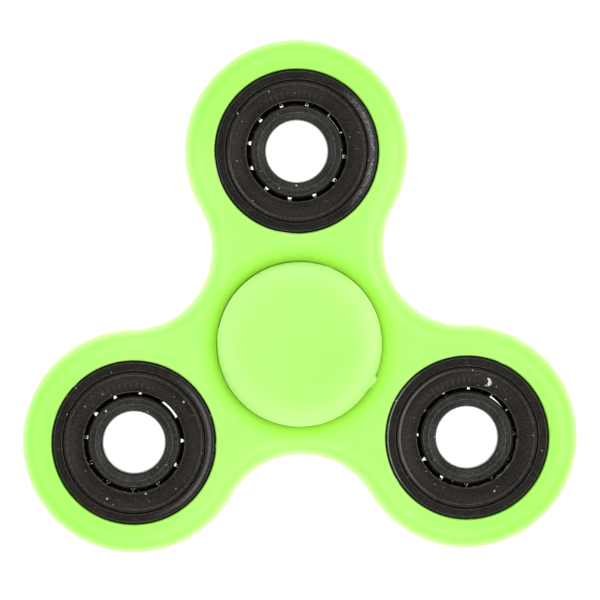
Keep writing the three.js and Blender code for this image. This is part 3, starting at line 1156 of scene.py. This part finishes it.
@dataclass
class FingerCap:
    """A dished disc on a collar, with a hollow split stem and a trimmed gate on its rim."""

    node: str
    side: float
    radius: float
    top: float
    stem_tip: float
    collar_foot: float
    underside: float = 4.35
    dish_radius: float = 7.4
    dish_depth: float = 0.5
    rim_fall: tuple[float, float] = (3.2, 1.3)
    crown_steps: int = 24
    dish_steps: int = 25
    collar_radius: float = 5.75
    collar_play: float = 0.02
    stem_radius: float = 3.9
    stem_wall: float = 1.5
    lead_in: tuple[float, float] = (0.4, 0.6)
    hollow_above: float = 0.2
    slot_width: float = 1.2
    slot_top: float = 3.0
    wall_columns: int = 80
    gate_angle: float = -28.0
    gate_reach: float = 0.93
    gate_peak: float = 0.42
    gate_tail: float = 0.12
    gate_nick: float = -0.08
    gate_root: float = 0.25
    gate_top: float = 0.55

    @classmethod
    def from_frame(cls, shop: Workshop, node: str, side: float, ring: str) -> FingerCap:
        """Takes a cap's driving sizes from the frame."""
        low, high = shop.box(node)
        heights = sorted(abs(value) for value in (low[2], high[2]))
        foot = float(shop.box(ring)[1][2]) + cls.collar_play
        return cls(node, side, -float(low[0]), float(heights[1]), float(heights[0]), foot)

    def section(self) -> Section:
        """Draws the cap from the middle of its hollow, out over the rim, to the middle of its dish.

        Over the rim the section is a quarter of an ellipse. At a distance r inside the dish's radius R, the
        dish lies its depth times (1 - (r / R)^2)^2 below the top, which leaves no edge at either end.
        """
        bore = self.stem_radius - self.stem_wall
        hollow = self.underside + self.hollow_above
        width, fall = self.rim_fall
        rim = np.array([self.radius - width, self.top - fall])
        crown = rim + polar(1.0, np.linspace(0, math.pi / 2, self.crown_steps + 1)) * self.rim_fall
        dish = np.linspace(self.dish_radius, 0, self.dish_steps + 1)
        bowl = self.top - self.dish_depth * (1 - (dish / self.dish_radius) ** 2) ** 2
        corners = [
            Corner(0, hollow),
            Corner(bore, hollow, 0.2),
            Corner(bore, self.stem_tip, 0.1),
            Corner(self.stem_radius - self.lead_in[0], self.stem_tip, 0.1),
            Corner(self.stem_radius, self.stem_tip + self.lead_in[1], 0.2),
            Corner(self.stem_radius, self.collar_foot, 0.15),
            Corner(self.collar_radius, self.collar_foot, 0.1),
            Corner(self.collar_radius, self.underside, 0.25),
            Corner(self.radius, self.underside, 0.3),
            *[Corner(float(r), float(z)) for r, z in crown],
            *[Corner(float(r), float(z)) for r, z in zip(dish, bowl)],
        ]
        return draw(corners, closed=False, steps=10)

    def surface(self) -> Patch:
        """Turns the section, splits the stem with two crossed slots, and raises the gate's stub.

        Round the stem, a column's angle at radius r is spread between the slots' edges, which lie at
        asin(half width / r) from each slot's middle, so that the slots' walls are parallel. Inside a slot the
        stem ends at the slot's top. On the rim, the radius grows within the gate's reach: from a small nick
        steeply to its peak on one side, then slowly down to its tail on the other, where it was cut.
        """
        section = self.section()
        radius, height = section.points.T
        outward = np.maximum(radius, self.stem_radius - self.stem_wall)
        edge = np.arcsin(np.minimum(0.5 * self.slot_width / outward, 1))
        share = np.linspace(0, 1, self.wall_columns)
        quarter = math.pi / 2
        within = np.array([-1.0, 0.0, 1.0]) * 0.98
        slot_columns = within[:, None] * edge[None]
        wall_columns = edge[None] + (quarter - 2 * edge)[None] * share[:, None]
        columns = np.concatenate([slot_columns, wall_columns])
        in_slot = np.concatenate([np.ones(within.size), np.zeros(share.size)])
        angles = np.concatenate([columns + quarter * i for i in range(4)])
        open_slot = np.concatenate([in_slot] * 4)[:, None] > 0
        on_stem = (height < self.slot_top)[None] & (radius < self.stem_radius + 0.01)[None]
        cut = np.where(open_slot & on_stem, self.slot_top, height[None])
        off = np.angle(np.exp(1j * (angles - math.radians(self.gate_angle)))) * self.radius
        outside = np.clip((radius - self.radius + self.gate_root) / self.gate_root, 0, 1)[None]
        reach = self.gate_reach
        trim = np.interp(off, [-reach - 0.02, -reach, reach / 2, reach, reach + 0.1, reach + 0.3],
                         [0, self.gate_tail, self.gate_peak, self.gate_nick, self.gate_nick, 0])
        stub = outside * np.where((height < self.top - self.gate_top)[None], trim, 0)
        flat = polar(radius[None] + stub, angles)
        points = np.concatenate([flat, cut[..., None]], axis=-1)
        points = points * np.array([1, self.side, self.side])
        return Patch(points, np.broadcast_to(section.wear, points.shape[:2]), wrap_rows=True)

    def build(self, shop: Workshop, material: bpy.types.Material) -> None:
        """Makes the cap and fits it."""
        shop.fit(Skin(self.surface()).sew(f"{self.node}_fine"), self.node, material)


# ---------------------------------------------------------------- studio


@dataclass
class Softbox:
    """A square soft light that looks at the object."""

    name: str
    place: tuple[float, float, float]
    size: float
    power: float

    def build(self) -> None:
        """Makes the light."""
        data = bpy.data.lights.new(self.name, "AREA")
        data.shape = "SQUARE"
        data.size = self.size * MM
        data.energy = self.power
        light = bpy.data.objects.new(self.name, data)
        light.location = Vector(self.place) * MM
        light.rotation_mode = "QUATERNION"
        light.rotation_quaternion = (-light.location).to_track_quat("-Z", "Y")
        bpy.context.scene.collection.objects.link(light)


@dataclass
class Studio:
    """A pale floor, soft light from all four sides, and a camera that looks down, a little askew."""

    floor_height: float
    camera_place: tuple[float, float, float] = (-9.3, 16.0, 417.0)
    camera_target: tuple[float, float, float] = (0.23, 5.8, 0.0)
    camera_roll: float = -0.8
    view_width: float = 81.0
    sensor: float = 36.0
    floor_size: float = 3000.0
    floor_gap: float = 0.01
    sky: float = 0.28
    lights: tuple[Softbox, ...] = (
        Softbox("left_softbox", (-330, 0, 380), 380, 0.82),
        Softbox("right_softbox", (330, 0, 380), 380, 1.15),
        Softbox("back_softbox", (0, 330, 380), 380, 0.85),
        Softbox("front_softbox", (0, -330, 380), 380, 0.95),
    )

    def build(self) -> None:
        """Makes the floor, the sky, the lights and the camera."""
        self._floor()
        self._sky()
        for light in self.lights:
            light.build()
        self._camera()

    def _floor(self) -> None:
        """Makes the floor, which shines a little of its own so that it stays white under the object."""
        half = self.floor_size / 2 * MM
        height = (self.floor_height - self.floor_gap) * MM
        mesh = bpy.data.meshes.new("floor")
        corners = [(-half, -half, height), (half, -half, height), (half, half, height), (-half, half, height)]
        mesh.from_pydata(corners, [], [(0, 1, 2, 3)])
        graph = Graph("pale_floor")
        grain = graph.noise(graph.place(), 30, 2)
        mesh.materials.append(graph.finish({
            "Base Color": graph.mix(grain, (0.9, 0.9, 0.9), (0.88, 0.88, 0.88)),
            "Roughness": 0.8,
            "Specular IOR Level": 0.1,
            "Emission Color": (1, 1, 1),
            "Emission Strength": 1.0,
        }))
        floor = bpy.data.objects.new("floor", mesh)
        bpy.context.scene.collection.objects.link(floor)
        floor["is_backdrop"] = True

    def _sky(self) -> None:
        """Fills the space round the object with even white light."""
        world = bpy.data.worlds.new("white_room")
        world.use_nodes = True
        world.node_tree.nodes["Background"].inputs["Color"].default_value = (1, 1, 1, 1)
        world.node_tree.nodes["Background"].inputs["Strength"].default_value = self.sky
        bpy.context.scene.world = world
        bpy.context.scene.view_settings.view_transform = "Standard"

    def _camera(self) -> None:
        """Hangs the camera over the object, with the lens that sees view_width at its target."""
        place, target = Vector(self.camera_place), Vector(self.camera_target)
        data = bpy.data.cameras.new("camera")
        data.sensor_width = self.sensor
        data.lens = self.sensor * (target - place).length / self.view_width
        data.clip_start = 0.01
        camera = bpy.data.objects.new("camera", data)
        camera.location = place * MM
        camera.rotation_mode = "QUATERNION"
        aim = Vector((0, 0, -1)).rotation_difference(target - place)
        camera.rotation_quaternion = aim @ Quaternion((0, 0, 1), math.radians(self.camera_roll))
        bpy.context.scene.collection.objects.link(camera)
        bpy.context.scene.camera = camera


# ---------------------------------------------------------------- the whole scene


# Painted shade on the body: deeper green from 24 to 37 mm paints the overhead reflection fading towards the
# lobes' outer ends, and deeper, less hazed green from 14 mm in to 11.2 mm paints the shade round the caps.
BODY_PAINTED_SHADE = (PaintedLightZone(24, 37, (0.345, 0.94, 0.055)), PaintedLightZone(14.0, 11.2, (0.36, 0.93, 0.008), 0.7))
# Painted sheen on the caps: paler from 5.5 mm out to the rim at 11 mm.
CAP_PAINTED_SHEEN = (PaintedLightZone(5.5, 11, (0.46, 0.95, 0.18)),)
CENTRE_MARKS = Marks(Stamp(middle=90))
# Each weight's second entry lists painted highlights: paler steel arcs where the lights catch one side of its
# ring faces and shield bead.
WEIGHT_MARKS = {
    "weight_1": Marks(
        Stamp(middle=90),
        (PaintedHighlight(10.15, 1.0, 2, 55, 1.0), PaintedHighlight(9.15, 0.4, 215, 40, 0.5)),
        lower_bore=6.48,
        lower_shift=(0.0, 0.05, 0.0),
    ),
    "weight_2": Marks(
        Stamp(middle=95),
        (PaintedHighlight(10.15, 0.7, -8, 75, 0.5, 0.5),),
    ),
    "weight_3": Marks(
        Stamp(middle=112),
        (PaintedHighlight(10.66, 0.28, 175, 55, 1.0, 0.4), PaintedHighlight(9.1, 0.45, 172, 75, 0.4, 0.3)),
        Scuff(radius=7.91, angle=69),
        lower_shift=(-0.09, -0.09, 0.0),
    ),
}


def main() -> None:
    """Builds every piece around the frame, and the studio."""
    logging.basicConfig(level=logging.INFO, format="%(message)s")
    shop = Workshop(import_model())
    cad_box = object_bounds()
    body_plastic = MouldedPlastic("body_plastic", BODY_PAINTED_SHADE).material()
    cap_plastic = MouldedPlastic("cap_plastic", CAP_PAINTED_SHEEN).material()
    TriLobeBody.from_frame(shop, "centre", list(WEIGHT_MARKS)).build(shop, body_plastic)
    for node, side in (("upper_finger_cap", 1.0), ("lower_finger_cap", -1.0)):
        FingerCap.from_frame(shop, node, side, "centre_inner_ring").build(shop, cap_plastic)
    BallBearing.from_frame(shop, "centre", CENTRE_MARKS).build(shop)
    for name, marks in WEIGHT_MARKS.items():
        BallBearing.from_frame(shop, name, marks).build(shop)
    Studio(floor_height=cad_box[0].z / MM).build()
    LOG.info("%d pieces made", len(shop.made))


if __name__ == "__main__":
    main()
